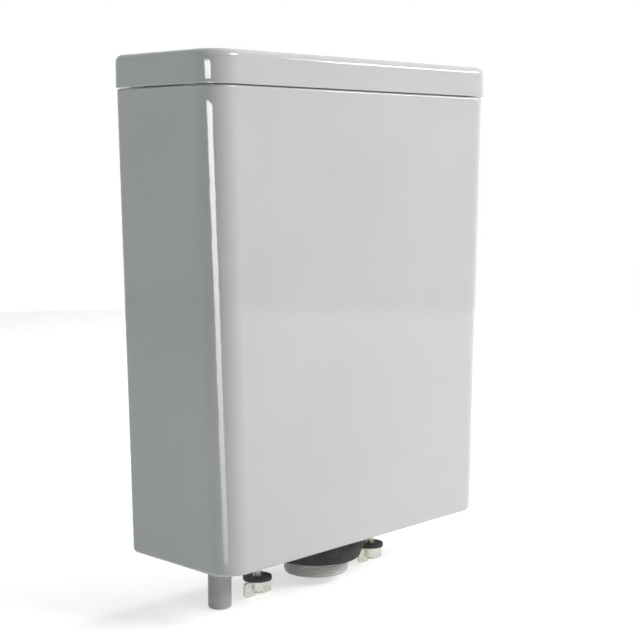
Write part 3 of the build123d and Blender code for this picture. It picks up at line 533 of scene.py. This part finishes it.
# Lid: vitreous china, cast and glazed like the tank. It isn't fixed: it lies loose on four soft pads
# stuck to the tank's rim.
dress("lid", china("lid_china"))
dress("lid_pads", rubber("pad_rubber", (0.62, 0.62, 0.60), 0.5))

# Push button: a chromed bezel clamped in the lid's hole by a ribbed nut, with a foam gasket under its
# flange. Two satin chromed buttons, their tops turned, stand in it on springs, each with a plastic rod
# screwed in below.
lathe_pitch = 0.0008
lathe_depth = 0.00001
lathe_wander = 0.4
rings_per_scale = 0.314


def lathe_marks(tree, shader, pitch, depth):
    """Fine rings round the upright axis, as a lathe tool leaves them, over the bumps already there."""
    place = tree.nodes.new("ShaderNodeTexCoord")
    rings = tree.nodes.new("ShaderNodeTexWave")
    rings.wave_type = "RINGS"
    rings.rings_direction = "Z"
    rings.inputs["Scale"].default_value = rings_per_scale / pitch
    rings.inputs["Distortion"].default_value = lathe_wander
    tree.links.new(place.outputs["Object"], rings.inputs["Vector"])
    marks = tree.nodes.new("ShaderNodeBump")
    marks.inputs["Distance"].default_value = depth
    tree.links.new(rings.outputs["Fac"], marks.inputs["Height"])
    tree.links.new(shader.inputs["Normal"].links[0].from_socket, marks.inputs["Normal"])
    tree.links.new(marks.outputs["Normal"], shader.inputs["Normal"])


button_chrome = metal("button_chrome", (0.62, 0.63, 0.64), (0.56, 0.57, 0.58), 0.17, 0.000002)
chrome_tree = button_chrome.node_tree
lathe_marks(chrome_tree, chrome_tree.nodes["Principled BSDF"], lathe_pitch, lathe_depth)
bezel_chrome = metal("chromed_plastic", (0.56, 0.57, 0.58), (0.52, 0.53, 0.54), 0.06, 0.000002)
dress("button_bezel", bezel_chrome)
dress("bezel_gasket", rubber("foam_gasket", (0.08, 0.08, 0.08), 0.8, cells=0.0002))
dress("bezel_nut", white_plastic)
dress("full_flush_button", button_chrome)
dress("half_flush_button", button_chrome)
dress("full_push_rod", rod_plastic)
dress("half_push_rod", rod_plastic)

# Button springs: drawn steel wire. Each is the CAD's coil, carried on its button's body.
spring_steel = metal("spring_steel", (0.55, 0.55, 0.55), (0.48, 0.47, 0.45), 0.25, 0.00001)


def closing_spring(name, node, body):
    """The coil of a CAD node, put on the button's body in place of its node."""
    coil = bmesh.new()
    coil.from_mesh(nodes[node].data)
    piece = finish(coil, name, spring_steel, body, node)
    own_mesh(piece)


closing_spring("full_closing_spring", "full_button_spring", "full_button")
closing_spring("half_closing_spring", "half_button_spring", "half_button")

# Floor and room: a plain pale floor that keeps the shadow, in a white room. Both look brighter to the
# camera and to mirrors than the light they throw.
floor_shade = 0.86
floor_roughness = 0.9
floor_glow = 0.6
floor_radius = 2.4
floor_sides = 96
floor_gap = 0.0005
room_thrown = 0.05
room_seen = 1.0


def seen_white(tree):
    """1 where a camera, a mirror or a glass looks at the stage, and 0 for the light it throws."""
    path = tree.nodes.new("ShaderNodeLightPath")
    value = path.outputs["Is Camera Ray"]
    for kind in ("Is Glossy Ray", "Is Transmission Ray"):
        either = tree.nodes.new("ShaderNodeMath")
        either.operation = "MAXIMUM"
        tree.links.new(value, either.inputs[0])
        tree.links.new(path.outputs[kind], either.inputs[1])
        value = either.outputs["Value"]
    return value


floor_mesh = bmesh.new()
bmesh.ops.create_circle(floor_mesh, cap_ends=True, segments=floor_sides, radius=floor_radius)
floor_data = bpy.data.meshes.new("floor")
floor_mesh.to_mesh(floor_data)
floor_mesh.free()
floor = bpy.data.objects.new("floor", floor_data)
floor.location = (0, 0, cad_bounds[0][2] - floor_gap)
bpy.context.scene.collection.objects.link(floor)
material, tree, shader = new_material("floor_pale")
shader.inputs["Base Color"].default_value = (floor_shade, floor_shade, floor_shade, 1)
shader.inputs["Roughness"].default_value = floor_roughness
shader.inputs["Specular IOR Level"].default_value = 0
shader.inputs["Emission Color"].default_value = (1, 1, 1, 1)
floor_light = spread(tree, seen_white(tree), 0, floor_glow, 0, 1)
tree.links.new(floor_light, shader.inputs["Emission Strength"])
floor_data.materials.append(material)

room = bpy.data.worlds.new("room")
room.use_nodes = True
bpy.context.scene.world = room
room_tree = room.node_tree
sky = room_tree.nodes["Background"]
sky.inputs["Color"].default_value = (1, 1, 1, 1)
room_light = spread(room_tree, seen_white(room_tree), room_thrown, room_seen, 0, 1)
room_tree.links.new(room_light, sky.inputs["Strength"])


# Lamps: a large soft key from the front, a weak cool fill from the upper left, and a softbox on the
# right that lights the lid's top. A low strip on the right only draws the bright line along the lid's
# front edge.
middle = (0, 0, 0.2)
tank_top = (0, 0, 0.4)
lid_edge = (0.05, -0.06, 0.42)
fill_colour = (0.84, 1.0, 0.95)


def lamp(name, place, target, size, power, colour=(1, 1, 1), mirrored=True, lighting=True):
    """A soft rectangular lamp at a place, aimed at a target; its power is in watts."""
    data = bpy.data.lights.new(name, "AREA")
    data.shape = "RECTANGLE"
    data.size, data.size_y = size
    data.energy = power
    data.color = colour
    item = bpy.data.objects.new(name, data)
    item.location = place
    item.rotation_euler = (Vector(target) - Vector(place)).to_track_quat("-Z", "Y").to_euler()
    item.visible_glossy = mirrored
    item.visible_diffuse = lighting
    bpy.context.scene.collection.objects.link(item)


lamp("key", (1.15, -2.2, 1.8), middle, (1.2, 1.2), 52)
lamp("fill", (-1.15, 0.5, 1.35), tank_top, (0.7, 0.7), 4.5, fill_colour, mirrored=False)
lamp("top_softbox", (2.1, 0.1, 2.1), middle, (1.4, 1.4), 44, mirrored=False)
lamp("edge_strip", (2.07, -1.46, 1.17), lid_edge, (0.8, 0.45), 16, lighting=False)

# Highlight cards: two upright strips by the near corner that only glossy surfaces see. They draw the
# narrow bright lines on the rounded corner of the tank and of the lid.
card_turn_low = 223
card_turn_high = 202
card_reach = 0.15
card_width = 0.06
card_colour = (1.0, 0.99, 0.955, 1)
tank_corner = Vector((-0.172, -0.056, 0))
cards_low = -0.04
cards_high = 0.385
lid_card_low = 0.4127
lid_card_high = 0.429
glow_weak = 4.0
glow_strong = 15.0


def card(name, low, high, glow_low, glow_high):
    """An upright strip that turns about the tank's corner as it rises, its glow changing on the way."""
    mesh = bmesh.new()
    rows = []
    for height in (low, high):
        share = (height - cards_low) / (cards_high - cards_low)
        angle = math.radians(card_turn_low + share * (card_turn_high - card_turn_low))
        out = Vector((math.cos(angle), math.sin(angle), 0))
        across = Vector((-out.y, out.x, 0)) * card_width / 2
        centre = tank_corner + out * card_reach + Vector((0, 0, height))
        rows.append([mesh.verts.new(centre - across), mesh.verts.new(centre + across)])
    mesh.faces.new((rows[0][0], rows[0][1], rows[1][1], rows[1][0]))
    data = bpy.data.meshes.new(name)
    mesh.to_mesh(data)
    mesh.free()
    item = bpy.data.objects.new(name, data)
    item.visible_camera = item.visible_diffuse = item.visible_shadow = False
    item.visible_transmission = item.visible_volume_scatter = False
    bpy.context.scene.collection.objects.link(item)
    material, tree, shader = new_material(name)
    tree.nodes.remove(shader)
    glow = tree.nodes.new("ShaderNodeEmission")
    glow.inputs["Color"].default_value = card_colour
    place = tree.nodes.new("ShaderNodeTexCoord")
    axes = tree.nodes.new("ShaderNodeSeparateXYZ")
    tree.links.new(place.outputs["Object"], axes.inputs["Vector"])
    strength = spread(tree, axes.outputs["Z"], glow_low, glow_high, cards_low, cards_high)
    tree.links.new(strength, glow.inputs["Strength"])
    tree.links.new(glow.outputs["Emission"], tree.nodes["Material Output"].inputs["Surface"])
    data.materials.append(material)


card("corner_card", cards_low, cards_high, glow_weak, glow_strong)
card("lid_card", lid_card_low, lid_card_high, glow_strong, glow_strong)
